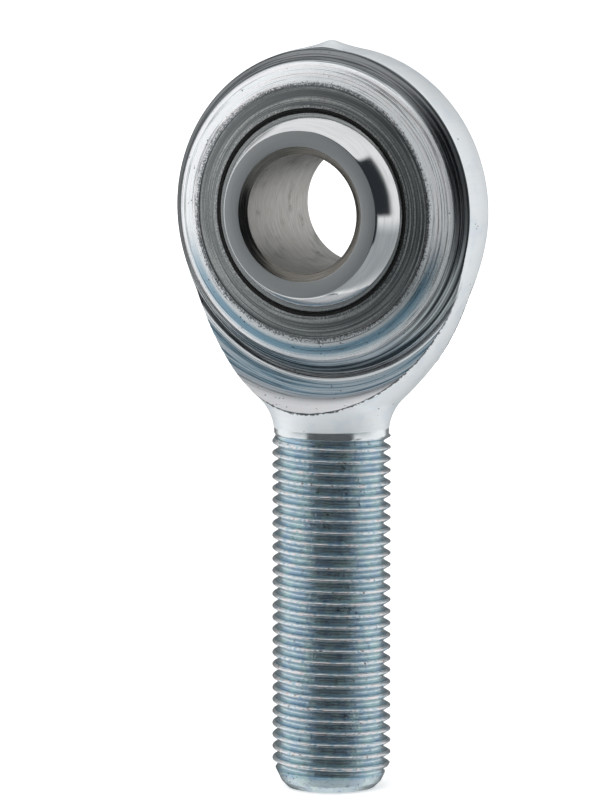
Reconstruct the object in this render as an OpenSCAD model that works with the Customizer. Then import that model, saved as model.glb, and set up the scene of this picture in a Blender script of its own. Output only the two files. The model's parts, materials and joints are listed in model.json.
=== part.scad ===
// Rod end bearing: a ball with a plain bore, held in a lined race, pressed and staked
// into the eye of a turned body with a left-hand threaded shank.
// The ball's centre is the origin, the bore lies along Y and the shank points down along -Z.

/* [Ball] */
// Diameter of the bore through the ball
bore_d = 12.7; // [8:0.1:14]
// Spherical diameter of the ball
ball_d = 23.8; // [22:0.1:24]
// Width of the ball between its ground faces
ball_w = 15.875; // [14:0.125:17]
// Radial size of the chamfer at each mouth of the bore
bore_chamfer_r = 0.85; // [0.3:0.05:1.2]
// Depth of that chamfer along the bore
bore_chamfer_l = 0.55; // [0.2:0.05:1]

/* [Race and liner] */
// Outside diameter of the race
race_d = 27.4; // [26.6:0.1:28.4]
// Width of the race at its outside diameter
race_w = 9.8; // [9:0.1:10.4]
// Width of the race at its inner lip
race_lip_w = 10.4; // [9.8:0.1:11]
// Thickness of the liner bonded inside the race
liner_t = 0.27; // [0.2:0.01:0.4]
// How far each edge of the liner lies below the race's lip
liner_recess = 0.12; // [0:0.02:0.3]
// Clearance all round between ball and liner
ball_gap = 0.03; // [0.01:0.01:0.1]

/* [Head] */
// Spherical radius of the turned outside of the head
head_r = 17.4; // [17:0.1:18.4]
// Height of the small point left on top by parting off
tip_h = 0.55; // [0:0.05:1]
// Radius at which the boss around the race starts to fall away
boss_r = 15.9; // [15:0.1:16.4]
// Half the width of the boss at that radius
boss_half_w = 4.15; // [3.8:0.05:4.6]
// Radius of the bottom of the cove turned around the boss
cove_r = 17.7; // [17:0.1:18.2]
// Half the thickness left at the bottom of the cove
cove_half_w = 1.75; // [1.2:0.05:2.4]
// Radius of the hollow that rises from the cove to the neck
cove_arc_r = 9; // [7:0.5:14]

/* [Shank] */
// Radius of the long curve from the head down to the neck
shoulder_r = 32; // [28:1:38]
// Angle below the middle of the head at which that curve starts
shoulder_angle = 11.5; // [8:0.5:14]
// Radius of the fillet into the neck
neck_fillet_r = 5.4; // [4:0.1:7]
// Diameter of the neck
neck_d = 12.3; // [11.6:0.1:12.6]
// Distance from the ball's centre to the end of the shank
shank_l = 62.3; // [50:0.1:70]
// Major diameter of the left-hand thread
thread_d = 12.7; // [12.6:0.05:13]
// Pitch of the thread
pitch = 1.27; // [1.25:0.01:1.5]
// Length of plain neck between its fillet and the thread
neck_land = 0.4; // [0.2:0.05:2]
// Length of the lead-in chamfer at the end of the shank
end_chamfer_l = 2.7; // [1:0.1:4]
// Diameter at the small end of that chamfer
end_d = 10.1; // [8:0.1:11]

/* [Hidden] */

fn_round = 144;
seam = 0.01;            // space between parts that are pressed together
edge = 0.15;            // small broken edges
end_edge = 0.35;        // broken edge at the end of the shank

ball_r = ball_d / 2;
liner_in_r = ball_r + ball_gap;
liner_out_r = liner_in_r + liner_t;
race_in_r = liner_out_r + seam;
race_r = race_d / 2;
lip_half_w = race_lip_w / 2;
lip_r = sqrt(pow(race_in_r, 2) - pow(lip_half_w - edge, 2));
race_chamfer = 0.4;
boss_top = race_w / 2 + 0.06;

// the body's pocket grips the race, and its staked lips close over the race's chamfers
pocket_r = race_r + seam;
stake_y = race_w / 2 - race_chamfer;
stake_r = race_r - race_chamfer;

// the turned curves of the head cross by this much, which makes them as good as tangent
cross = 0.01;
overlap = 1.5;          // how far they run on inside each other
// centre of the long shoulder curve, which leaves the sphere of the head at shoulder_angle
shoulder_x = -(shoulder_r - head_r + cross) * cos(shoulder_angle);
shoulder_z = (shoulder_r - head_r + cross) * sin(shoulder_angle);
// centre of the neck fillet, which runs from the shoulder curve into the neck
fillet_x = neck_d / 2 + neck_fillet_r;
fillet_reach = shoulder_r + neck_fillet_r - cross;
fillet_z = shoulder_z - sqrt(pow(fillet_reach, 2) - pow(fillet_x - shoulder_x, 2));
fillet_angle = acos((fillet_x - shoulder_x) / fillet_reach);

// the point on top of the head runs into the sphere at this radius
tip_base_r = 3.2;
tip_top_r = 0.6;

thread_top = -fillet_z + neck_land;     // distance from the ball's centre to the thread
neck_l = thread_top - neck_land / 2;    // where the head ends and the shank's own turning starts

// where the hollow of the cove meets the neck
cove_end_r = 21.2;
cove_end_half_w = 6.9;
beyond = 14;            // half-width of the blank that the cove is cut from
margin = 2;             // how far cutting shapes reach past the work
wall_lean = 0.5;        // how far the wall above the cove leans back

// the boss is flat over the staked lip and then falls away in two slopes
boss_land = 0.6;
boss_crown = 0.4;
boss_drop = 0.25;

thread_r = thread_d / 2;
thread_depth = 17 / 24 * sqrt(3) / 2 * pitch;
root_half_w = pitch / 12;
thread_over = 0.1;      // how far the cutter stands outside the thread
over_half_w = root_half_w + (thread_depth + thread_over) * tan(30);
thread_steps = 24;      // cutter sections in each turn
runout_steps = 12;      // sections over which the cutter leaves the work
thread_phase = 180;     // where the cutter starts, round the shank
cutter_low = -shank_l - pitch;
runout_turns = 0.15;    // how far the cutter runs on above the thread
cutter_turns = (shank_l + pitch - thread_top) / pitch + runout_turns;
cutter_steps = round(cutter_turns * thread_steps);

// centre of the circle of radius r through p and q that lies to the left of the way from p to q
function arc_centre(p, q, r) =
    let (m = (p + q) / 2, d = q - p, l = norm(d))
    m + [-d[1], d[0]] / l * sqrt(r * r - l * l / 4);

// one section of the thread cutter; it follows the left-hand helix and backs out at the top
function cutter_section(i) =
    let (a = thread_phase - 360 * i / thread_steps,
         z = cutter_low + pitch * i / thread_steps,
         out = max(0, i - (cutter_steps - runout_steps)) / runout_steps,
         deep = thread_depth * (1 - out) + 0.02,
         r0 = thread_r - deep,
         r1 = thread_r + thread_over,
         w0 = over_half_w - (deep + thread_over) * tan(30))
    [[r1 * cos(a), r1 * sin(a), z - over_half_w], [r0 * cos(a), r0 * sin(a), z - w0],
     [r0 * cos(a), r0 * sin(a), z + w0], [r1 * cos(a), r1 * sin(a), z + over_half_w]];

// turns its 2-D child, drawn as [radius, width], about the bore's axis
module about_bore() {
    rotate([90, 0, 0]) rotate_extrude($fn = fn_round) children();
}

module thread_cutter() {
    n = cutter_steps;
    sections = [for (i = [0:n]) each cutter_section(i)];
    sides = [for (i = [0:n - 1], k = [0:3]) each [
        [4 * i + k, 4 * i + (k + 1) % 4, 4 * i + 4 + (k + 1) % 4],
        [4 * i + k, 4 * i + 4 + (k + 1) % 4, 4 * i + 4 + k]]];
    polyhedron(points = sections,
        faces = concat([[3, 2, 1, 0]], sides, [[4 * n, 4 * n + 1, 4 * n + 2, 4 * n + 3]]));
}

// turns the part of its 2-D child between two heights about the shank's axis
module turned(low, high) {
    rotate_extrude($fn = fn_round) intersection() {
        translate([0, low]) square([2 * head_r, high - low]);
        children();
    }
}

// the blank's upper part: a sphere, a long shoulder curve, a neck with its fillet, and the point on top;
// each of them ends inside the next
module turned_head() {
    start_z = -head_r * sin(shoulder_angle);
    inside = shoulder_r - overlap;
    neck_top = [shoulder_x + inside * cos(fillet_angle), shoulder_z - inside * sin(fillet_angle)];
    tip_base_z = sqrt(pow(head_r, 2) - pow(tip_base_r, 2));
    turned(start_z - 2 * overlap, head_r) circle(r = head_r, $fn = fn_round);
    turned((neck_top[1] + fillet_z) / 2, start_z)
        translate([shoulder_x, shoulder_z]) circle(r = shoulder_r, $fn = fn_round);
    rotate_extrude($fn = fn_round) difference() {
        polygon([[0, neck_top[1]], neck_top, [fillet_x, fillet_z], [neck_d / 2, fillet_z],
            [neck_d / 2, -neck_l], [0, -neck_l]]);
        translate([fillet_x, fillet_z]) circle(r = neck_fillet_r, $fn = fn_round);
    }
    rotate_extrude($fn = fn_round)
        polygon([[0, tip_base_z - overlap], [tip_top_r, tip_base_z - overlap], [tip_base_r, tip_base_z],
            [tip_top_r, head_r + tip_h], [0, head_r + tip_h]]);
}

// everything that the second turning, about the bore, leaves standing
module face_form() {
    p = [cove_r, cove_half_w];
    q = [cove_end_r, cove_end_half_w];
    c = arc_centre(p, q, cove_arc_r);
    half = [[pocket_r, stake_y], [stake_r, stake_y + race_chamfer], [stake_r, boss_top],
        [stake_r + boss_land, boss_top], [(stake_r + boss_r) / 2 + boss_crown, boss_top - boss_drop],
        [boss_r, boss_half_w], p, q, [cove_end_r + wall_lean, beyond], [beyond * 2, beyond]];
    about_bore() difference() {
        polygon(concat(half, [for (i = [len(half) - 1:-1:0]) [half[i][0], -half[i][1]]]));
        for (side = [0, 1]) mirror([0, side]) intersection() {
            translate(c) circle(r = cove_arc_r, $fn = fn_round);
            polygon([p, q, [cove_end_r + margin, cove_end_half_w], [cove_end_r + margin, 0], [cove_r, 0]]);
        }
    }
}

module threaded_shank() {
    difference() {
        rotate_extrude($fn = fn_round) polygon([
            [0, -neck_l], [neck_d / 2, -neck_l], [neck_d / 2, -thread_top],
            [thread_r, -thread_top - (thread_d - neck_d) / 2], [thread_r, -shank_l + end_chamfer_l],
            [end_d / 2 + edge, -shank_l + end_edge], [end_d / 2 - end_edge, -shank_l], [0, -shank_l]]);
        thread_cutter();
    }
}

module body() {
    color("lightsteelblue") {
        intersection() {
            turned_head();
            face_form();
        }
        threaded_shank();
    }
}

module race() {
    color("dimgray") about_bore() difference() {
        polygon([
            [lip_r - margin, lip_half_w], [lip_r + edge, lip_half_w], [stake_r - seam, race_w / 2],
            [race_r, stake_y - seam], [race_r, -stake_y + seam], [stake_r - seam, -race_w / 2],
            [lip_r + edge, -lip_half_w], [lip_r - margin, -lip_half_w]]);
        circle(r = race_in_r, $fn = fn_round);
    }
}

module liner() {
    half = lip_half_w - liner_recess;
    color("black") about_bore() difference() {
        intersection() {
            circle(r = liner_out_r, $fn = fn_round);
            translate([ball_r / 2, -half]) square([ball_r, 2 * half]);
        }
        circle(r = liner_in_r, $fn = fn_round);
    }
}

module ball() {
    half = ball_w / 2;
    color("silver") about_bore() difference() {
        intersection() {
            circle(r = ball_r, $fn = fn_round);
            translate([0, -half]) square([ball_r, ball_w]);
        }
        polygon([
            [-1, -half - 1], [bore_d / 2 + bore_chamfer_r, -half - 1],
            [bore_d / 2 + bore_chamfer_r, -half], [bore_d / 2, -half + bore_chamfer_l],
            [bore_d / 2, half - bore_chamfer_l], [bore_d / 2 + bore_chamfer_r, half],
            [bore_d / 2 + bore_chamfer_r, half + 1], [-1, half + 1]]);
    }
}

body();
race();
liner();
ball();
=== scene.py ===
"""The looks of a rod end bearing: a plated body, its race, the thin liner and the chromed ball."""

import json
import logging
import math
from collections.abc import Sequence
from dataclasses import dataclass, field
from enum import Enum

import bmesh
import bpy
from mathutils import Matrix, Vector, noise

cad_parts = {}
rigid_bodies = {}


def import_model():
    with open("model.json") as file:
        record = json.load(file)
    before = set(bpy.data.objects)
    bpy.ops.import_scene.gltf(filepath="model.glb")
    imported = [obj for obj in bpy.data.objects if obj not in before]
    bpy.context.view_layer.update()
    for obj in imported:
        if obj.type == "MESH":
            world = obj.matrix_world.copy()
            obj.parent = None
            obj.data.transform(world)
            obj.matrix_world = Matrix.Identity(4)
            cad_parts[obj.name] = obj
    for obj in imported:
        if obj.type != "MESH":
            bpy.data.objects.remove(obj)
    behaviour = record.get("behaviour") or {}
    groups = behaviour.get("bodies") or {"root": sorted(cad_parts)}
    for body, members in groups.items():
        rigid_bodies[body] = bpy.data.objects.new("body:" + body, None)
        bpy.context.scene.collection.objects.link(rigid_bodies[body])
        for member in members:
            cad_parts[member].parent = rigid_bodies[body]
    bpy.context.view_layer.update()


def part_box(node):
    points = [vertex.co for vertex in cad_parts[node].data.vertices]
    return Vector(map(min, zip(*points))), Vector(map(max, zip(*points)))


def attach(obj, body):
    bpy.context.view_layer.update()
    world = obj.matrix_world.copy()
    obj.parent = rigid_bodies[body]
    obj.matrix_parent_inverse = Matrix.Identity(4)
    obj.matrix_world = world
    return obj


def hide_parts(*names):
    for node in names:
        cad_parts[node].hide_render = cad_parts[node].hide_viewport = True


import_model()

LOG = logging.getLogger("rod_end")
MM = 0.001
FULL_TURN = 2 * math.pi
# vertices closer than this, in metres, are the same one
SAME = 1e-6

Point = tuple[float, float]
Colour = tuple[float, float, float, float]
Socket = bpy.types.NodeSocket
Term = Socket | float


class Axis(Enum):
    """The two axes that the real part is turned about."""

    BORE = (0, 1, 0)
    SHANK = (0, 0, 1)


def rgb(red: float, green: float, blue: float) -> Colour:
    """A linear colour with full alpha."""
    return (red, green, blue, 1.0)


# ---------------------------------------------------------------- outlines and turned shapes


def arc(centre: Point, radius: float, start: float, end: float, steps: int) -> list[Point]:
    """Points along a circular arc.

    Args:
        centre: centre of the circle.
        radius: its radius.
        start: angle of the first point, in degrees.
        end: angle of the last point, in degrees.
        steps: number of chords.

    Returns:
        steps + 1 points, both ends included.
    """
    turns = [math.radians(start + (end - start) * i / steps) for i in range(steps + 1)]
    return [(centre[0] + radius * math.cos(t), centre[1] + radius * math.sin(t)) for t in turns]


def mirrored(half: Sequence[Point]) -> list[Point]:
    """The same points with their second coordinate negated, in reverse order."""
    return [(r, -y) for r, y in reversed(half)]


def turned(outline: Sequence[Point], axis: Axis, steps: int, closed: bool) -> bmesh.types.BMesh:
    """Turns an outline about an axis, as a lathe does.

    Args:
        outline: points as (radius, distance along the axis), in millimetres.
        axis: the axis to turn about.
        steps: number of flats round the full turn.
        closed: whether the last point joins the first.

    Returns:
        A new bmesh in metres, with its poles closed and its faces pointing outwards.
    """
    bm = bmesh.new()
    along = Vector(axis.value)
    points = [bm.verts.new((r * MM * Vector((1, 0, 0))) + (h * MM * along)) for r, h in outline]
    last = len(points) if closed else len(points) - 1
    for i in range(last):
        bm.edges.new((points[i], points[(i + 1) % len(points)]))
    bmesh.ops.spin(bm, geom=bm.verts[:] + bm.edges[:], cent=(0, 0, 0), axis=along, dvec=(0, 0, 0),
                   angle=FULL_TURN, steps=steps, use_merge=True, use_normal_flip=False,
                   use_duplicate=False)
    bmesh.ops.remove_doubles(bm, verts=bm.verts[:], dist=SAME / 10)
    bmesh.ops.recalc_face_normals(bm, faces=bm.faces[:])
    return bm


def radius_about(axis: Axis, place: Vector) -> float:
    """Distance from a point to the axis."""
    along = Vector(axis.value)
    return (place - along * place.dot(along)).length


def break_edges(bm: bmesh.types.BMesh, axis: Axis, corners: Sequence[Point], size: float,
                segments: int = 3) -> None:
    """Rounds the circular edges that pass through the given corners of the outline.

    Args:
        bm: the turned shape.
        axis: the axis it was turned about.
        corners: corners as (radius, distance along the axis), in millimetres.
        size: width of the rounding, in millimetres.
        segments: number of flats across it.
    """
    along = Vector(axis.value)
    near = 2 * SAME

    def on(vert: bmesh.types.BMVert, corner: Point) -> bool:
        """Whether a vertex lies on the circle through that corner."""
        off = abs(radius_about(axis, vert.co) - corner[0] * MM)
        return off < near and abs(vert.co.dot(along) - corner[1] * MM) < near

    edges = [e for e in bm.edges for c in corners if on(e.verts[0], c) and on(e.verts[1], c)]
    bmesh.ops.bevel(bm, geom=edges, offset=size * MM, segments=segments, profile=0.5,
                    affect="EDGES", material=-1, clamp_overlap=True)


def as_object(bm: bmesh.types.BMesh, name: str, sharp: float = 35.0) -> bpy.types.Object:
    """Makes an object of a bmesh, smooth except where faces meet at more than an angle.

    Args:
        bm: the finished shape, which is freed.
        name: name of the object.
        sharp: the angle, in degrees.

    Returns:
        The object, linked to the scene, at the origin.
    """
    for face in bm.faces:
        face.smooth = True
    for edge in bm.edges:
        if len(edge.link_faces) == 2:
            edge.smooth = edge.calc_face_angle(0) < math.radians(sharp)
    mesh = bpy.data.meshes.new(name)
    bm.to_mesh(mesh)
    bm.free()
    made = bpy.data.objects.new(name, mesh)
    bpy.context.scene.collection.objects.link(made)
    weighted = made.modifiers.new("weighted", "WEIGHTED_NORMAL")
    weighted.keep_sharp = True
    return made


def dress(piece: bpy.types.Object, finishes: Sequence[bpy.types.Material]) -> None:
    """Gives a piece its materials, in the order of its faces' material numbers."""
    for finish in finishes:
        piece.data.materials.append(finish)


# ---------------------------------------------------------------- node graphs


class Graph:
    """Adds nodes to a tree, with numbers or other nodes' outputs as their inputs."""

    def __init__(self, tree: bpy.types.NodeTree) -> None:
        """Starts from an empty tree."""
        self.tree = tree
        tree.nodes.clear()

    def add(self, kind: str, **settings: object) -> bpy.types.Node:
        """A new node with some of its properties set."""
        node = self.tree.nodes.new(kind)
        for name, value in settings.items():
            setattr(node, name, value)
        return node

    def feed(self, socket: Socket, term: Term | Sequence[float]) -> None:
        """Links another node's output to an input, or sets the input's own value."""
        if isinstance(term, bpy.types.NodeSocket):
            self.tree.links.new(term, socket)
        else:
            socket.default_value = term

    def math(self, operation: str, *terms: Term, clamp: bool = False) -> Socket:
        """The result of a Math node."""
        node = self.add("ShaderNodeMath", operation=operation, use_clamp=clamp)
        for socket, term in zip(node.inputs, terms):
            self.feed(socket, term)
        return node.outputs[0]

    def dot(self, vector: Socket, direction: Sequence[float]) -> Socket:
        """The component of a vector along a direction."""
        node = self.add("ShaderNodeVectorMath", operation="DOT_PRODUCT")
        self.feed(node.inputs[0], vector)
        node.inputs[1].default_value = direction
        return node.outputs["Value"]

    def rise(self, value: Term, low: float, high: float, bottom: float = 0.0,
             top: float = 1.0) -> Socket:
        """A smooth step from bottom to top as value goes from low to high."""
        node = self.add("ShaderNodeMapRange", interpolation_type="SMOOTHSTEP", clamp=True)
        for name, term in (("Value", value), ("From Min", low), ("From Max", high),
                           ("To Min", bottom), ("To Max", top)):
            self.feed(node.inputs[name], term)
        return node.outputs["Result"]

    def band(self, value: Term, low: float, high: float, soft: float) -> Socket:
        """1 between low and high and 0 outside, with soft edges of the given width."""
        up = self.rise(value, low - soft / 2, low + soft / 2)
        down = self.rise(value, high - soft / 2, high + soft / 2, 1.0, 0.0)
        return self.math("MULTIPLY", up, down)

    def mix(self, factor: Term, first: Socket | Colour, second: Socket | Colour) -> Socket:
        """A colour between two others."""
        node = self.add("ShaderNodeMix", data_type="RGBA")
        self.feed(node.inputs["Factor"], factor)
        colours = [s for s in node.inputs if s.type == "RGBA"]
        self.feed(colours[0], first)
        self.feed(colours[1], second)
        return next(s for s in node.outputs if s.type == "RGBA")

    def noise(self, vector: Socket, scale: float, detail: float = 2.0,
              roughness: float = 0.5) -> Socket:
        """Cloudy noise from 0 to 1 at a place."""
        node = self.add("ShaderNodeTexNoise", noise_dimensions="3D")
        self.feed(node.inputs["Vector"], vector)
        node.inputs["Scale"].default_value = scale
        node.inputs["Detail"].default_value = detail
        node.inputs["Roughness"].default_value = roughness
        return node.outputs["Fac"]

    def vector(self, x: Term, y: Term, z: Term) -> Socket:
        """A vector from three numbers."""
        node = self.add("ShaderNodeCombineXYZ")
        for socket, term in zip(node.inputs, (x, y, z)):
            self.feed(socket, term)
        return node.outputs[0]


class Surface(Graph):
    """A material's graph, with its place in millimetres and the distances from both turning axes."""

    def __init__(self, name: str, metallic: float, roughness: float) -> None:
        """Makes the material and its shader.

        Args:
            name: the material's name.
            metallic: 1 for bare or plated metal.
            roughness: the roughness where nothing else sets it.
        """
        self.material = bpy.data.materials.new(name)
        self.material.use_nodes = True
        super().__init__(self.material.node_tree)
        self.shader = self.add("ShaderNodeBsdfPrincipled")
        output = self.add("ShaderNodeOutputMaterial")
        self.tree.links.new(self.shader.outputs[0], output.inputs["Surface"])
        self.shader.inputs["Metallic"].default_value = metallic
        self.shader.inputs["Roughness"].default_value = roughness
        place = self.add("ShaderNodeTexCoord").outputs["Object"]
        scale = self.add("ShaderNodeVectorMath", operation="SCALE")
        self.feed(scale.inputs[0], place)
        scale.inputs["Scale"].default_value = 1 / MM
        self.place = scale.outputs[0]
        parts = self.add("ShaderNodeSeparateXYZ")
        self.feed(parts.inputs[0], self.place)
        self.x, self.y, self.z = parts.outputs
        self.half_w = self.math("ABSOLUTE", self.y)
        self.from_bore = self.length(self.x, self.z)
        self.from_shank = self.length(self.x, self.y)

    def length(self, first: Socket, second: Socket) -> Socket:
        """The length of a two-dimensional vector."""
        squares = [self.math("MULTIPLY", s, s) for s in (first, second)]
        return self.math("SQRT", self.math("ADD", *squares))

    def colour(self, colour: Socket | Colour) -> None:
        """Sets the surface's colour."""
        self.feed(self.shader.inputs["Base Color"], colour)

    def rough(self, roughness: Socket) -> None:
        """Sets a roughness that varies over the surface."""
        self.feed(self.shader.inputs["Roughness"], roughness)

    def metallic(self, share: Socket) -> None:
        """Sets how much of the surface mirrors like metal and how much scatters."""
        self.feed(self.shader.inputs["Metallic"], share)

    def rings(self, axis: Axis, per_mm: float, wander: float = 0.05, detail: float = 3.0) -> Socket:
        """Turning marks: noise that changes fast across the grooves and slowly along them.

        Args:
            axis: the axis of the turning.
            per_mm: grooves in each millimetre.
            wander: how fast the marks change along a groove, per millimetre.
            detail: levels of finer marks.

        Returns:
            The noise, from 0 to 1.
        """
        across = self.from_bore if axis is Axis.BORE else self.z
        aside = self.z if axis is Axis.BORE else self.y
        slow = [self.math("MULTIPLY", s, wander) for s in (self.x, aside)]
        fast = self.math("MULTIPLY", across, per_mm)
        return self.noise(self.vector(slow[0], slow[1], fast), 1.0, detail, 0.6)

    def specks(self, per_mm: float, share: float) -> Socket:
        """Small scattered spots.

        Args:
            per_mm: how many cells lie along a millimetre.
            share: how much of the cell a spot fills, from 0 to 1.

        Returns:
            1 on the spots and 0 between them.
        """
        cells = self.add("ShaderNodeTexVoronoi", feature="F1")
        self.feed(cells.inputs["Vector"], self.place)
        cells.inputs["Scale"].default_value = per_mm
        chosen = self.rise(self.noise(self.place, per_mm * 0.35, 1.0), 0.62, 0.7)
        spot = self.rise(cells.outputs["Distance"], share * 0.6, share, 1.0, 0.0)
        return self.math("MULTIPLY", spot, chosen)

    def bump(self, height: Socket, depth: float, strength: float = 1.0) -> None:
        """Adds relief on top of any that is there already.

        Args:
            height: the relief, from 0 to 1.
            depth: its depth, in millimetres.
            strength: how strongly it shows.
        """
        node = self.add("ShaderNodeBump")
        normal = self.shader.inputs["Normal"]
        if normal.is_linked:
            self.feed(node.inputs["Normal"], normal.links[0].from_socket)
        self.feed(node.inputs["Height"], height)
        node.inputs["Distance"].default_value = depth * MM
        node.inputs["Strength"].default_value = strength
        self.feed(normal, node.outputs[0])

    def brushed(self, axis: Axis, amount: float) -> None:
        """Stretches highlights across grooves that run round an axis."""
        around = self.add("ShaderNodeVectorMath", operation="CROSS_PRODUCT")
        around.inputs[0].default_value = axis.value
        self.feed(around.inputs[1], self.place)
        turn = self.add("ShaderNodeVectorTransform", vector_type="VECTOR",
                        convert_from="OBJECT", convert_to="WORLD")
        self.feed(turn.inputs[0], around.outputs[0])
        unit = self.add("ShaderNodeVectorMath", operation="NORMALIZE")
        self.feed(unit.inputs[0], turn.outputs[0])
        self.shader.inputs["Anisotropic"].default_value = amount
        self.feed(self.shader.inputs["Tangent"], unit.outputs[0])


# ---------------------------------------------------------------- finishes


@dataclass(frozen=True)
class ZincFilm:
    """Bright zinc plate under a thin blue chromate film."""

    zinc: Colour = rgb(0.80, 0.84, 0.86)
    film: Colour = rgb(0.36, 0.52, 0.66)
    deep: Colour = rgb(0.22, 0.36, 0.46)
    teal: Colour = rgb(0.50, 0.68, 0.70)
    blush: Colour = rgb(0.86, 0.80, 0.81)
    # near black: real specks, pits and marks, and also painted shade, as in the dark line beside the
    # thread's crests
    grime_and_shade: Colour = rgb(0.035, 0.045, 0.05)


@dataclass(frozen=True)
class TurnedSide:
    """The plated side of the head: rings about the bore, a rough dark flank and a blue cove, with painted
    shade and painted highlights on its lower side.
    """

    film: ZincFilm
    lip_r: float
    boss_r: float
    cove_r: float

    def material(self) -> bpy.types.Material:
        """The material of the head's turned sides."""
        s = Surface("zinc_turned_side", 1.0, 0.3)
        f = self.film
        fine = s.rings(Axis.BORE, 5.0, 0.05)
        broad = s.rings(Axis.BORE, 2.0, 0.03, 2.0)
        grain = s.noise(s.place, 6.0, 3.0, 0.6)
        flank = s.band(s.from_bore, self.boss_r + 0.1, self.cove_r + 0.15, 0.25)
        # 1 towards the bottom of the head: the mask for the painted shade and highlights on its lower side
        low = s.rise(s.z, -1.0, -8.0)
        hollow = s.band(s.from_bore, self.cove_r + 0.45, self.cove_r + 2.2, 0.7)
        matt = s.rise(s.from_bore, self.cove_r + 1.9, self.cove_r + 3.0)
        ring = s.band(s.from_bore, self.lip_r + 0.6, self.lip_r + 1.7, 0.5)
        colour = s.mix(s.rise(broad, 0.35, 0.75, 0.0, 0.6), f.zinc, f.blush)
        # Deep blue on the lower part of the boss band only is painted shade over the blue film; the cove is
        # painted deep blue all round.
        blue = s.math("MULTIPLY", s.math("MULTIPLY", ring, low), s.rise(broad, 0.3, 0.6, 0.5, 1.0))
        blue = s.math("MAXIMUM", blue, s.math("MULTIPLY", hollow, s.rise(fine, 0.42, 0.6, 1.0, 0.35)))
        colour = s.mix(blue, colour, f.deep)
        # The flank is darkened all round; the darkening eases towards the bottom and pale zinc rings are
        # painted on the lower flank, which is painted light.
        least = s.rise(s.z, -8.0, 2.0, 0.45, 0.7)
        dark = s.math("MULTIPLY", flank, s.rise(fine, 0.42, 0.58, 0.93, least))
        colour = s.mix(dark, colour, f.grime_and_shade)
        light = s.math("MULTIPLY", s.rise(fine, 0.54, 0.60), s.math("MULTIPLY", flank, low))
        colour = s.mix(light, colour, f.zinc)
        thin = s.math("MULTIPLY", s.band(fine, 0.36, 0.42, 0.04), 0.7)
        colour = s.mix(thin, colour, f.grime_and_shade)
        ragged = s.math("ADD", s.from_bore, s.rise(grain, 0.3, 0.7, -0.35, 0.35))
        lip = s.rise(ragged, self.lip_r - 0.15, self.lip_r + 0.1, 0.75, 0.0)
        colour = s.mix(lip, colour, f.grime_and_shade)
        colour = s.mix(s.rise(grain, 0.62, 0.72, 0.0, 0.5), colour, f.grime_and_shade)
        colour = s.mix(matt, colour, s.mix(s.rise(grain, 0.35, 0.6), f.blush, f.zinc))
        # A pale band painted along the cove's bottom edge, on the lower part only: a painted highlight.
        crest = s.band(s.from_bore, self.cove_r + 0.3, self.cove_r + 0.6, 0.15)
        crest = s.math("MULTIPLY", s.math("MULTIPLY", crest, low), s.rise(fine, 0.35, 0.55))
        s.colour(s.mix(crest, s.mix(s.specks(2.6, 0.3), colour, f.grime_and_shade), f.zinc))
        boss = s.band(s.from_bore, self.lip_r, self.boss_r, 0.5)
        boss = s.math("MULTIPLY", boss, s.rise(s.z, -9.0, 1.0, 0.12, 0.45))
        scatter = s.math("MAXIMUM", boss, s.math("MULTIPLY", matt, 0.95))
        scatter = s.math("MAXIMUM", scatter, s.math("MULTIPLY", hollow, 0.6))
        # The painted highlight along the cove's edge is made non-metal here so that it stays bright.
        s.metallic(s.math("SUBTRACT", 1.0, s.math("MAXIMUM", scatter, crest)))
        s.rough(s.math("ADD", s.rise(fine, 0.3, 0.7, 0.2, 0.4), s.math("MULTIPLY", matt, 0.25)))
        s.bump(broad, 0.03)
        s.bump(fine, 0.04)
        s.bump(grain, 0.02)
        s.brushed(Axis.BORE, 0.6)
        return s.material


@dataclass(frozen=True)
class TurnedOutside:
    """The plated outside of the head and neck: pale, nearly matt, with faint rings and specks."""

    film: ZincFilm
    arc_centre: Point
    arc_radius: float

    def material(self) -> bpy.types.Material:
        """The material of the head's outside, with a dark burr where the cove cuts into it."""
        s = Surface("zinc_turned_outside", 0.55, 0.5)
        f = self.film
        cloud = s.noise(s.place, 0.35, 3.0)
        fine = s.rings(Axis.SHANK, 7.0, 0.2)
        pale = s.mix(s.rise(fine, 0.35, 0.65, 0.0, 0.25), f.zinc, f.blush)
        colour = s.mix(s.rise(cloud, 0.45, 0.7, 0.04, 0.2), pale, f.film)
        off_r = s.math("SUBTRACT", s.from_bore, self.arc_centre[0])
        off_y = s.math("SUBTRACT", s.half_w, self.arc_centre[1])
        reach = s.math("SUBTRACT", s.length(off_r, off_y), self.arc_radius)
        ragged = s.rise(s.noise(s.place, 2.6, 4.0, 0.6), 0.35, 0.65, 0.12, 0.44)
        edge = s.rise(s.math("ABSOLUTE", reach), s.math("MULTIPLY", ragged, 0.5), ragged, 1.0, 0.0)
        edge = s.math("MULTIPLY", edge, s.rise(s.z, -6.0, -12.0))
        colour = s.mix(edge, colour, f.grime_and_shade)
        s.colour(s.mix(s.specks(1.6, 0.2), colour, f.grime_and_shade))
        s.metallic(s.math("SUBTRACT", 0.55, s.math("MULTIPLY", edge, 0.5)))
        s.rough(s.rise(fine, 0.3, 0.7, 0.40, 0.52))
        s.bump(fine, 0.006)
        s.bump(s.noise(s.place, 3.0, 4.0), 0.02)
        return s.material


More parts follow.
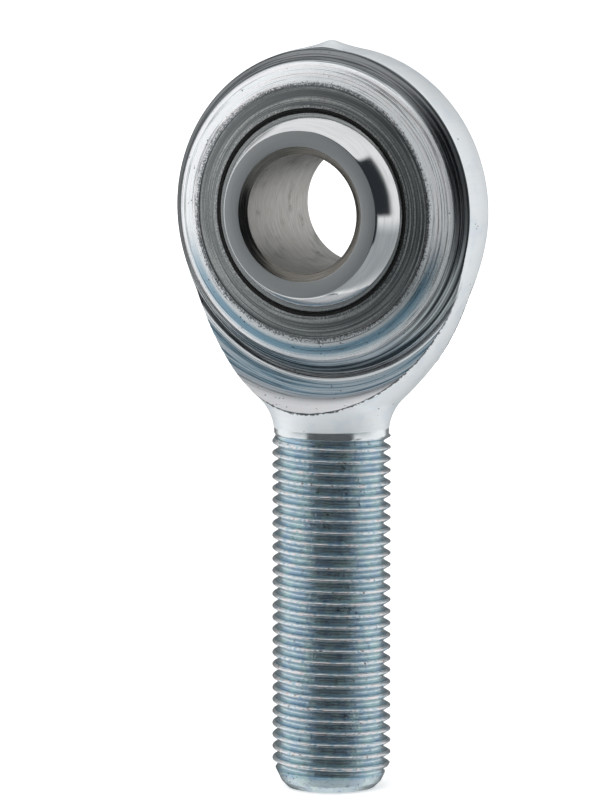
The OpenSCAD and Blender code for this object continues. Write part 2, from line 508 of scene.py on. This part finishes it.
@dataclass(frozen=True)
class RolledThread:
    """The plated thread: glossy blue flanks with small pits, pale, slightly pink crests that are a painted
    highlight, and a painted dark line next to them.
    """

    film: ZincFilm
    thread_r: float
    depth: float
    land_z: float

    def material(self) -> bpy.types.Material:
        """The material of the thread and of the shank's end."""
        s = Surface("zinc_thread", 0.93, 0.2)
        f = self.film
        height = s.rise(s.from_shank, self.thread_r - self.depth, self.thread_r)
        cloud = s.noise(s.place, 0.8, 3.0)
        grain = s.rings(Axis.SHANK, 6.0, 1.0)
        pits = s.noise(s.place, 2.2, 5.0, 0.65)
        land = s.rise(s.z, self.land_z - 0.1, self.land_z + 0.1)
        below = s.math("SUBTRACT", 1.0, land)
        colour = s.mix(s.rise(cloud, 0.35, 0.65), f.film, f.teal)
        # Pale, slightly pink crests: a painted highlight along the thread's crests.
        crest = s.math("MULTIPLY", s.rise(height, 0.58, 0.85), s.rise(pits, 0.38, 0.54, 0.15, 0.95))
        colour = s.mix(crest, colour, s.mix(s.rise(cloud, 0.4, 0.6), f.zinc, f.blush))
        # A dark band partway down each flank, next to the crests' painted highlight: painted shade.
        colour = s.mix(s.math("MULTIPLY", s.band(height, 0.48, 0.62, 0.08), 0.6), colour, f.grime_and_shade)
        colour = s.mix(s.rise(height, 0.30, 0.05, 0.0, 0.45), colour, f.zinc)
        colour = s.mix(s.rise(pits, 0.60, 0.68, 0.0, 0.8), colour, f.grime_and_shade)
        colour = s.mix(s.specks(2.2, 0.3), colour, f.grime_and_shade)
        s.colour(s.mix(land, colour, f.zinc))
        s.rough(s.rise(grain, 0.3, 0.7, 0.08, 0.24))
        s.bump(s.math("MULTIPLY", grain, below), 0.02)
        s.bump(s.math("MULTIPLY", pits, below), 0.08)
        return s.material


@dataclass(frozen=True)
class RaceSteel:
    """The race's bare steel, finely turned about the bore."""

    lip_r: float
    dark: Colour = rgb(0.17, 0.185, 0.19)
    light: Colour = rgb(0.62, 0.64, 0.63)
    bright: Colour = rgb(0.8, 0.8, 0.8)

    def material(self) -> bpy.types.Material:
        """The material of the race."""
        s = Surface("race_turned_steel", 1.0, 0.4)
        fine = s.rings(Axis.BORE, 7.0, 0.06)
        broad = s.rings(Axis.BORE, 2.0, 0.03)
        grain = s.noise(s.place, 6.0, 3.0, 0.6)
        colour = s.mix(s.rise(fine, 0.40, 0.62), self.dark, self.light)
        colour = s.mix(s.rise(grain, 0.45, 0.65, 0.0, 0.6), colour, self.dark)
        colour = s.mix(s.rise(broad, 0.4, 0.6, 0.0, 0.4), colour, self.dark)
        lip = s.math("MULTIPLY", s.band(s.from_bore, self.lip_r, self.lip_r + 0.35, 0.15),
                     s.rise(s.noise(s.place, 5.0, 2.0), 0.5, 0.65, 0.0, 0.6))
        s.colour(s.mix(lip, colour, self.bright))
        s.rough(s.rise(fine, 0.3, 0.7, 0.3, 0.5))
        s.bump(broad, 0.02)
        s.bump(fine, 0.03)
        s.bump(grain, 0.02)
        s.brushed(Axis.BORE, 0.5)
        return s.material


@dataclass(frozen=True)
class LinerWeave:
    """The matt black liner, with the fine weave of its cloth on its edge."""

    black: Colour = rgb(0.003, 0.003, 0.003)
    worn: Colour = rgb(0.018, 0.018, 0.018)

    def material(self) -> bpy.types.Material:
        """The material of the liner."""
        s = Surface("liner_weave", 0.0, 0.75)
        threads = s.noise(s.place, 9.0, 2.0)
        s.colour(s.mix(s.rise(threads, 0.45, 0.7), self.black, self.worn))
        s.rough(s.rise(threads, 0.3, 0.7, 0.6, 0.9))
        s.bump(threads, 0.03)
        return s.material


@dataclass(frozen=True)
class BallChrome:
    """The ball's four finishes: chromed sphere, ground faces, bright chamfers and honed bore."""

    chrome: Colour = rgb(0.72, 0.73, 0.74)
    ground: Colour = rgb(0.41, 0.43, 0.44)
    honed: Colour = rgb(0.37, 0.355, 0.33)
    stain: Colour = rgb(0.12, 0.113, 0.10)

    def sphere(self) -> bpy.types.Material:
        """Polished chrome, with a trace of the polishing marks."""
        s = Surface("ball_chrome", 1.0, 0.07)
        marks = s.rings(Axis.BORE, 5.0, 0.3)
        s.colour(s.mix(s.rise(marks, 0.3, 0.7, 0.0, 0.25), self.chrome, self.ground))
        s.rough(s.rise(marks, 0.3, 0.7, 0.05, 0.11))
        s.bump(marks, 0.0015)
        return s.material

    def faces(self) -> bpy.types.Material:
        """A satin ground face with faint rings."""
        s = Surface("ball_ground_face", 1.0, 0.38)
        marks = s.rings(Axis.BORE, 10.0, 0.2)
        s.colour(s.mix(s.rise(marks, 0.3, 0.7, 0.0, 0.12), self.ground, self.chrome))
        s.rough(s.rise(s.noise(s.place, 12.0, 2.0), 0.3, 0.7, 0.46, 0.54))
        s.bump(marks, 0.001)
        return s.material

    def chamfers(self) -> bpy.types.Material:
        """The bright turned chamfers at the bore's mouths."""
        s = Surface("ball_chamfer", 1.0, 0.25)
        marks = s.rings(Axis.BORE, 12.0, 0.3)
        s.colour(s.mix(s.rise(marks, 0.3, 0.7, 0.0, 0.5), self.stain, self.honed))
        s.rough(s.rise(marks, 0.3, 0.7, 0.22, 0.38))
        s.bump(marks, 0.003)
        return s.material

    def bore(self) -> bpy.types.Material:
        """The honed bore: warm grey, grained round and along, with a few stains."""
        s = Surface("ball_bore", 1.0, 0.4)
        stretched = s.vector(s.math("MULTIPLY", s.x, 0.6), s.math("MULTIPLY", s.y, 6.0),
                             s.math("MULTIPLY", s.z, 0.6))
        around = s.noise(stretched, 1.0, 3.0)
        cloud = s.noise(s.place, 0.5, 4.0)
        colour = s.mix(s.rise(around, 0.3, 0.7, 0.0, 0.5), self.honed, self.chrome)
        colour = s.mix(s.rise(cloud, 0.5, 0.75, 0.0, 0.4), colour, self.stain)
        s.colour(s.mix(s.specks(1.4, 0.18), colour, self.stain))
        s.rough(s.rise(around, 0.3, 0.7, 0.34, 0.5))
        s.bump(around, 0.01)
        s.bump(s.noise(s.place, 8.0, 2.0), 0.03)
        return s.material


# ---------------------------------------------------------------- the pieces


@dataclass
class Ball:
    """The bored ball. Its sizes are in millimetres."""

    radius: float
    half_w: float
    bore_r: float = 6.35
    chamfer_r: float = 0.85
    chamfer_l: float = 0.55
    edge: float = 0.06
    flats: int = 256
    finish: BallChrome = field(default_factory=BallChrome)

    @property
    def flat_r(self) -> float:
        """Radius at which the ground face meets the sphere."""
        return math.sqrt(self.radius**2 - self.half_w**2)

    def build(self) -> bpy.types.Object:
        """The ball, turned about its bore, with its faces sorted by finish."""
        mouth = (self.bore_r + self.chamfer_r, self.half_w)
        throat = (self.bore_r, self.half_w - self.chamfer_l)
        rim = (self.flat_r, self.half_w)
        top = math.degrees(math.asin(self.half_w / self.radius))
        sphere = arc((0, 0), self.radius, -top, top, 60)
        bm = turned([*sphere, mouth, throat, *mirrored([mouth, throat])], Axis.BORE, self.flats, True)
        corners = [rim, mouth, throat]
        break_edges(bm, Axis.BORE, corners + mirrored(corners), self.edge)
        self._sort_faces(bm)
        piece = as_object(bm, "ball_bored")
        f = self.finish
        dress(piece, [f.sphere(), f.faces(), f.chamfers(), f.bore()])
        return piece

    def _sort_faces(self, bm: bmesh.types.BMesh) -> None:
        """Numbers each face by the finish that its place on the ball calls for."""
        for face in bm.faces:
            centre = face.calc_center_median() / MM
            r = radius_about(Axis.BORE, centre)
            if centre.length > self.radius - 0.02:
                face.material_index = 0
            elif r < self.bore_r + 0.02:
                face.material_index = 3
            elif r < self.bore_r + self.chamfer_r:
                face.material_index = 2
            else:
                face.material_index = 1


@dataclass
class Race:
    """The outer ring, with its spherical inside. Its sizes are in millimetres."""

    radius: float
    lip_half_w: float
    in_r: float
    half_w: float = 4.9
    chamfer: float = 0.4
    edge: float = 0.05
    lip_edge: float = 0.04
    flats: int = 256

    def build(self) -> bpy.types.Object:
        """The race, turned about the bore."""
        lip_r = math.sqrt(self.in_r**2 - self.lip_half_w**2)
        shoulder = (self.radius - self.chamfer, self.half_w)
        lip = (lip_r + self.edge, self.lip_half_w)
        half = [lip, shoulder, (self.radius, self.half_w - self.chamfer)]
        top = math.degrees(math.asin((self.lip_half_w - self.edge) / self.in_r))
        inside = arc((0, 0), self.in_r, -top, top, 40)
        bm = turned([*inside, *half, *mirrored(half)], Axis.BORE, self.flats, True)
        break_edges(bm, Axis.BORE, [lip, *mirrored([lip])], self.lip_edge)
        piece = as_object(bm, "race_ring")
        dress(piece, [RaceSteel(lip_r).material()])
        return piece


@dataclass
class Liner:
    """The thin liner bonded inside the race. Its sizes are in millimetres."""

    out_r: float
    in_r: float
    half_w: float
    flats: int = 256
    finish: LinerWeave = field(default_factory=LinerWeave)

    def build(self) -> bpy.types.Object:
        """The liner, turned about the bore."""
        outer, inner = (math.degrees(math.asin(self.half_w / r)) for r in (self.out_r, self.in_r))
        outline = [*arc((0, 0), self.out_r, -outer, outer, 32), *arc((0, 0), self.in_r, inner, -inner, 32)]
        piece = as_object(turned(outline, Axis.BORE, self.flats, True), "liner_shell")
        dress(piece, [self.finish.material()])
        return piece


@dataclass
class Thread:
    """A left-hand unified thread. Its sizes are in millimetres."""

    radius: float = 6.35
    pitch: float = 1.27
    crest_z: float = -26.74
    full_z: float = -24.62
    gone_z: float = -24.02
    crest_round: float = 0.035
    root_round: float = 0.09
    rows: tuple[float, ...] = (0.0, 0.05, 0.085, 0.16, 0.25, 0.34, 0.41, 0.455,
                               0.5, 0.545, 0.59, 0.66, 0.75, 0.84, 0.915, 0.95)

    @property
    def depth(self) -> float:
        """Depth of the groove: 17/24 of the height of the sharp thread."""
        return 17 / 24 * math.sqrt(3) / 2 * self.pitch

    def cut(self, share: float) -> float:
        """How deep the groove is at a share of the pitch below the crest's middle."""
        off = abs((share + 0.5) % 1.0 - 0.5)
        flank = (off - 1 / 16) * self.pitch * math.sqrt(3)
        top = 0.5 * (flank + math.sqrt(flank**2 + self.crest_round**2)) - 0.5 * self.crest_round
        gap = self.depth - top
        return max(0.0, self.depth - 0.5 * (gap + math.sqrt(gap**2 + self.root_round**2)))

    def radius_at(self, turn: float, z: float) -> float:
        """Radius of the thread's surface.

        Args:
            turn: place round the shank, in turns from the X axis.
            z: height.

        Returns:
            The radius, which is the major radius above the groove's run-out.
        """
        crest = self.crest_z - self.pitch * turn
        share = (crest - z) / self.pitch
        groove = crest - self.pitch * (math.floor(share) + 0.5)
        fade = min(1.0, max(0.0, (self.gone_z - groove) / (self.gone_z - self.full_z)))
        return self.radius - self.cut(share) * fade


@dataclass
class Body:
    """The one-piece body: head, neck and threaded shank. Its sizes are in millimetres."""

    head_r: float
    top_z: float
    shank_l: float
    race_r: float
    shoulder_r: float = 32.0
    shoulder_angle: float = 11.5
    fillet_r: float = 5.4
    neck_r: float = 6.15
    neck_land: float = 0.02
    tip_r: float = 0.6
    tip_base_r: float = 3.2
    tip_edge: float = 0.06
    stake: float = 0.4
    lip_top: float = 4.96
    boss_r: float = 15.9
    boss_half_w: float = 4.15
    flank_steps: int = 6
    cove_r: float = 17.7
    cove_half_w: float = 1.75
    cove_arc_r: float = 9.0
    cove_end: Point = (21.2, 6.9)
    chamfer_l: float = 2.7
    end_r: float = 5.05
    end_edge: float = 0.35
    end_inset: float = 0.3
    flats: int = 144
    side_flats: int = 288
    thread: Thread = field(default_factory=Thread)
    film: ZincFilm = field(default_factory=ZincFilm)

    def __post_init__(self) -> None:
        """Works out the centres of the turned curves, which are tangent to each other."""
        lean = math.radians(self.shoulder_angle)
        gap = self.shoulder_r - self.head_r
        self.shoulder_c = (-gap * math.cos(lean), gap * math.sin(lean))
        fillet_x = self.neck_r + self.fillet_r
        reach = self.shoulder_r + self.fillet_r
        drop = math.sqrt(reach**2 - (fillet_x - self.shoulder_c[0]) ** 2)
        self.fillet_c = (fillet_x, self.shoulder_c[1] - drop)
        self.fillet_angle = math.degrees(math.asin(drop / reach))
        self.joint_z = self.fillet_c[1] + 0.7
        self.thread_top = self.fillet_c[1] - self.neck_land
        chord = Vector(self.cove_end) - Vector((self.cove_r, self.cove_half_w))
        middle = Vector((self.cove_r, self.cove_half_w)) + chord / 2
        aside = Vector((-chord.y, chord.x)).normalized()
        rise = math.sqrt(self.cove_arc_r**2 - (chord.length / 2) ** 2)
        self.cove_c = tuple(middle + aside * rise)

    def neck_radius(self, z: float) -> float:
        """Radius of the neck and its fillet at a height at or below the joint with the head."""
        if z <= self.fillet_c[1]:
            return self.neck_r
        return self.fillet_c[0] - math.sqrt(self.fillet_r**2 - (z - self.fillet_c[1]) ** 2)

    def build(self) -> bpy.types.Object:
        """The whole body, as one closed mesh with its faces sorted by finish."""
        head = self._head()
        bm = bmesh.new()
        bm.from_mesh(head.data)
        bpy.data.objects.remove(head)
        cap = [f for f in bm.faces if all(abs(v.co.z - self.joint_z * MM) < 5 * SAME for v in f.verts)]
        bmesh.ops.delete(bm, geom=cap, context="FACES")
        shank = self._shank()
        spare = bpy.data.meshes.new("shank")
        shank.to_mesh(spare)
        shank.free()
        bm.from_mesh(spare)
        bpy.data.meshes.remove(spare)
        bmesh.ops.remove_doubles(bm, verts=bm.verts[:], dist=2 * SAME)
        bmesh.ops.recalc_face_normals(bm, faces=bm.faces[:])
        self._raise_burr(bm)
        LOG.info("body: %d open edges", sum(1 for e in bm.edges if len(e.link_faces) != 2))
        piece = as_object(bm, "body_turned", 32.0)
        outside = TurnedOutside(self.film, self.cove_c, self.cove_arc_r)
        side = TurnedSide(self.film, self.race_r, self.boss_r, self.cove_r)
        thread = RolledThread(self.film, self.thread.radius, self.thread.depth, self.thread_top - 0.2)
        dress(piece, [outside.material(), side.material(), thread.material()])
        return piece

    def _head(self) -> bpy.types.Object:
        """The head: the blank turned about the shank, less what was turned off about the bore."""
        blank = as_object(turned(self._blank(), Axis.SHANK, self.flats, False), "blank")
        sides = as_object(turned(self._sides(), Axis.BORE, self.side_flats, True), "sides")
        dress(blank, [bpy.data.materials.new("outside"), bpy.data.materials.new("side")])
        dress(sides, list(blank.data.materials))
        for polygon in sides.data.polygons:
            polygon.material_index = 1
        common = blank.modifiers.new("common", "BOOLEAN")
        common.operation = "INTERSECT"
        common.solver = "EXACT"
        common.object = sides
        result = blank.evaluated_get(bpy.context.evaluated_depsgraph_get())
        mesh = bpy.data.meshes.new_from_object(result)
        head = bpy.data.objects.new("head", mesh)
        for spare in (blank, sides):
            bpy.data.objects.remove(spare)
        return head

    def _blank(self) -> list[Point]:
        """Outline of the blank from the point on top down to the joint in the neck."""
        base_z = math.sqrt(self.head_r**2 - self.tip_base_r**2)
        base_angle = math.degrees(math.asin(base_z / self.head_r))
        edge_z = self.top_z - self.tip_edge
        tip = [(0, self.top_z), (self.tip_r * 0.7, self.top_z), (self.tip_r, edge_z)]
        slope = [(self.tip_r + (self.tip_base_r - self.tip_r) * t, edge_z - (edge_z - base_z) * t**0.8)
                 for t in (0.25, 0.5, 0.75)]
        sphere = arc((0, 0), self.head_r, base_angle, -self.shoulder_angle, 90)
        shoulder = arc(self.shoulder_c, self.shoulder_r, -self.shoulder_angle, -self.fillet_angle, 44)
        joint_angle = 180 - math.degrees(math.asin((self.joint_z - self.fillet_c[1]) / self.fillet_r))
        fillet = arc(self.fillet_c, self.fillet_r, 180 - self.fillet_angle, joint_angle, 14)
        return [*tip, *slope, *sphere, *shoulder[1:], *fillet[1:], (0, self.joint_z)]

    def _sides(self) -> list[Point]:
        """Outline of everything that the turning about the bore leaves, pocket for the race included."""
        beyond = 14.0
        c = self.cove_c
        start, end = (math.degrees(math.atan2(p[1] - c[1], p[0] - c[0]))
                      for p in ((self.cove_r, self.cove_half_w), self.cove_end))
        stake_r = self.race_r - self.stake
        flank_r, flank_half_w = self.boss_r + 0.12, self.boss_half_w - 0.25
        half = [(self.race_r + 0.01, 4.5), (stake_r, 4.9), (stake_r, self.lip_top - 0.05),
                (stake_r + 0.08, self.lip_top), (stake_r + 0.6, self.lip_top - 0.03),
                (stake_r + 1.3, self.lip_top - 0.25), (self.boss_r - 0.3, self.boss_half_w + 0.16),
                (self.boss_r, self.boss_half_w - 0.05), (flank_r, flank_half_w)]
        for i in range(1, self.flank_steps):
            t = i / self.flank_steps
            r = flank_r + (self.cove_r - flank_r) * t
            y = flank_half_w + (self.cove_half_w - flank_half_w) * t
            half += [(r - 0.02, y + 0.03), (r + 0.06, y - 0.02)]
        half += arc(c, self.cove_arc_r, start, end if end > start else end + 360, 30)
        half += [(self.cove_end[0] + 0.6, beyond), (2 * beyond, beyond)]
        return [*half, *mirrored(half)]

    def _shank(self) -> bmesh.types.BMesh:
        """The neck's lower part and the threaded shank, open at the joint with the head."""
        thread = self.thread
        turns = math.ceil((self.shank_l + self.joint_z) / thread.pitch) + 3
        top = thread.crest_z + thread.pitch * math.ceil((self.joint_z - thread.crest_z) / thread.pitch + 1)
        heights = [top - thread.pitch * (i + share) for i in range(turns) for share in thread.rows]
        bm = bmesh.new()
        chain = [bm.verts.new((thread.radius * MM, 0, z * MM)) for z in heights]
        for upper, lower in zip(chain, chain[1:]):
            bm.edges.new((upper, lower))
        bmesh.ops.spin(bm, geom=bm.verts[:] + bm.edges[:], cent=(0, 0, 0), axis=Axis.SHANK.value,
                       dvec=(0, 0, -thread.pitch * MM / self.flats), angle=FULL_TURN,
                       steps=self.flats, use_merge=False, use_normal_flip=False, use_duplicate=False)
        bmesh.ops.remove_doubles(bm, verts=bm.verts[:], dist=SAME)
        for vert in bm.verts:
            self._place(vert)
        bmesh.ops.remove_doubles(bm, verts=bm.verts[:], dist=SAME)
        rim = [e for e in bm.edges if e.is_boundary and e.verts[0].co.z < -self.shank_l * MM + SAME]
        end = bmesh.ops.contextual_create(bm, geom=rim)["faces"]
        bmesh.ops.inset_region(bm, faces=end, thickness=self.end_inset * MM, depth=0.0,
                               use_even_offset=True)
        for face in bm.faces:
            face.material_index = 2
        return bm

    def _place(self, vert: bmesh.types.BMVert) -> None:
        """Moves a vertex of the shank's tube in or out to the real surface."""
        turn = (math.atan2(vert.co.y, vert.co.x) / FULL_TURN) % 1.0
        z = vert.co.z / MM
        outline = self.neck_radius(min(z, self.joint_z))
        if z < self.thread_top:
            outline += min(self.thread_top - z, self.thread.radius - self.neck_r)
        chamfer = self.end_r + (self.shank_l + z) * (self.thread.radius - self.end_r) / self.chamfer_l
        foot_r = self.end_r - self.end_edge
        edge = foot_r + (self.shank_l + z)
        outline = min(outline, max(chamfer, foot_r), max(edge, foot_r))
        groove = self.thread.radius_at(turn, z) if z < self.joint_z else outline
        r = min(outline, groove) * MM
        unit = Vector((vert.co.x, vert.co.y, 0)).normalized()
        height = max(min(z, self.joint_z), -self.shank_l) * MM
        vert.co = unit * r + Vector((0, 0, height))

    def _raise_burr(self, bm: bmesh.types.BMesh) -> None:
        """Roughens the sharp edge where the cove cuts into the outside of the head."""
        size = 0.035 * MM
        per_mm = 2.3
        top_z = -8 * MM
        for edge in bm.edges:
            if {f.material_index for f in edge.link_faces} != {0, 1}:
                continue
            for vert in edge.verts:
                vert.tag = True
        for vert in bm.verts:
            if vert.tag and vert.co.z < top_z:
                jitter = noise.noise_vector(vert.co / MM * per_mm)
                vert.co += jitter * size
                vert.tag = False


# ---------------------------------------------------------------- studio


@dataclass
class Studio:
    """Floor, light and camera. Lengths are in millimetres and angles in degrees."""

    azimuth: float = 25.4
    distance: float = 667.0
    height: float = 58.0
    pan: float = 0.29
    pitch: float = 6.715
    lens: float = 282.6
    floor_z: float = -62.4
    floor_half_w: float = 4000.0
    fill_strength: float = 1.3
    fill_width: float = 40.0
    fill_tilt: float = 50.0
    fill_aside: float = 20.0

    def build(self) -> None:
        """Sets the whole studio."""
        self._camera()
        self._world()
        self._fill()
        self._floor()
        bpy.context.scene.view_settings.view_transform = "Standard"

    def _camera(self) -> None:
        """The camera, a long lens from a little above the ball."""
        data = bpy.data.cameras.new("camera")
        data.lens = self.lens
        data.clip_start, data.clip_end = 0.05, 20.0
        camera = bpy.data.objects.new("camera", data)
        turn = math.radians(self.azimuth)
        camera.location = (self.distance * MM * math.sin(turn), -self.distance * MM * math.cos(turn),
                           self.height * MM)
        camera.rotation_euler = (math.radians(90 - self.pitch), 0, math.radians(self.azimuth + self.pan))
        bpy.context.scene.collection.objects.link(camera)
        bpy.context.scene.camera = camera

    def _world(self) -> None:
        """A white tent: a dark opening towards the camera, grey below it and a dark gap behind."""
        world = bpy.data.worlds.new("tent")
        world.use_nodes = True
        g = Graph(world.node_tree)
        way = g.add("ShaderNodeTexCoord").outputs["Generated"]
        turn = math.radians(self.azimuth)
        ahead = g.dot(way, (math.sin(turn), -math.cos(turn), 0))
        aside = g.dot(way, (math.cos(turn), math.sin(turn), 0))
        up = g.dot(way, (0, 0, 1))
        bearing = g.math("DEGREES", g.math("ARCTAN2", aside, ahead))
        climb = g.math("DEGREES", g.math("ARCSINE", up))
        white, grey = rgb(1.0, 1.0, 1.0), rgb(0.42, 0.45, 0.46)
        gap, room = rgb(0.05, 0.06, 0.065), rgb(0.03, 0.035, 0.04)
        off = g.math("ABSOLUTE", bearing)
        opening = g.math("MULTIPLY", g.band(bearing, -52, 64, 8), g.band(climb, -4, 52, 6))
        doorway = g.math("MULTIPLY", g.band(bearing, -52, 46, 8), g.band(climb, -30, 10, 8))
        opening = g.math("MAXIMUM", opening, doorway)
        behind = g.math("MULTIPLY", g.rise(off, 130, 147), g.band(climb, -55, 38, 14))
        below = g.math("MULTIPLY", g.rise(climb, -4, -22), g.rise(off, 110, 70))
        shade = g.mix(below, white, grey)
        shade = g.mix(g.math("MULTIPLY", behind, 0.85), shade, gap)
        shade = g.mix(opening, shade, room)
        seen = g.add("ShaderNodeLightPath").outputs["Is Camera Ray"]
        shade = g.mix(seen, shade, white)
        back = g.add("ShaderNodeBackground")
        g.feed(back.inputs["Color"], shade)
        back.inputs["Strength"].default_value = 1.0
        output = g.add("ShaderNodeOutputWorld")
        g.feed(output.inputs["Surface"], back.outputs[0])
        bpy.context.scene.world = world

    def _fill(self) -> None:
        """A soft light from the camera's upper left, which polished metal doesn't mirror."""
        data = bpy.data.lights.new("fill", "SUN")
        data.energy = self.fill_strength
        data.angle = math.radians(self.fill_width)
        fill = bpy.data.objects.new("fill", data)
        fill.rotation_euler = (math.radians(self.fill_tilt), 0, math.radians(self.azimuth - self.fill_aside))
        fill.visible_glossy = False
        bpy.context.scene.collection.objects.link(fill)

    def _floor(self) -> None:
        """A plain pale floor, which the metal doesn't mirror."""
        bm = bmesh.new()
        bmesh.ops.create_grid(bm, x_segments=1, y_segments=1, size=self.floor_half_w * MM)
        bmesh.ops.translate(bm, verts=bm.verts[:], vec=(0, 0, self.floor_z * MM))
        floor = as_object(bm, "floor")
        paint = Surface("floor_paper", 0.0, 0.9)
        paint.colour(rgb(0.93, 0.93, 0.93))
        paint.shader.inputs["Emission Color"].default_value = rgb(1, 1, 1)
        paint.shader.inputs["Emission Strength"].default_value = 0.45
        dress(floor, [paint.material])
        floor.visible_glossy = False


def stand_for(piece: bpy.types.Object, node: str, body: str) -> None:
    """Puts a piece in the place of a CAD node, on its body."""
    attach(piece, body)
    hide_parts(node)
    LOG.info("%s: %d faces, stands for %s", piece.name, len(piece.data.polygons), node)


def main() -> None:
    """Builds the pieces from the frame's sizes, then the studio."""
    logging.basicConfig(level=logging.INFO, format="%(name)s %(message)s")
    tops = {node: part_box(node)[1] / MM for node in ("body", "race", "liner", "ball")}
    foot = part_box("body")[0] / MM
    liner_out_r = tops["liner"].x
    ball_r = tops["ball"].x
    race = Race(tops["race"].x, tops["race"].y, liner_out_r + 0.01)
    stand_for(race.build(), "race", "housing")
    liner = Liner(liner_out_r, ball_r + 0.03, tops["liner"].y)
    stand_for(liner.build(), "liner", "housing")
    ball = Ball(ball_r, tops["ball"].y)
    stand_for(ball.build(), "ball", "ball")
    body = Body(tops["body"].x, tops["body"].z, -foot.z, race.radius)
    stand_for(body.build(), "body", "housing")
    Studio().build()


if __name__ == "__main__":
    main()
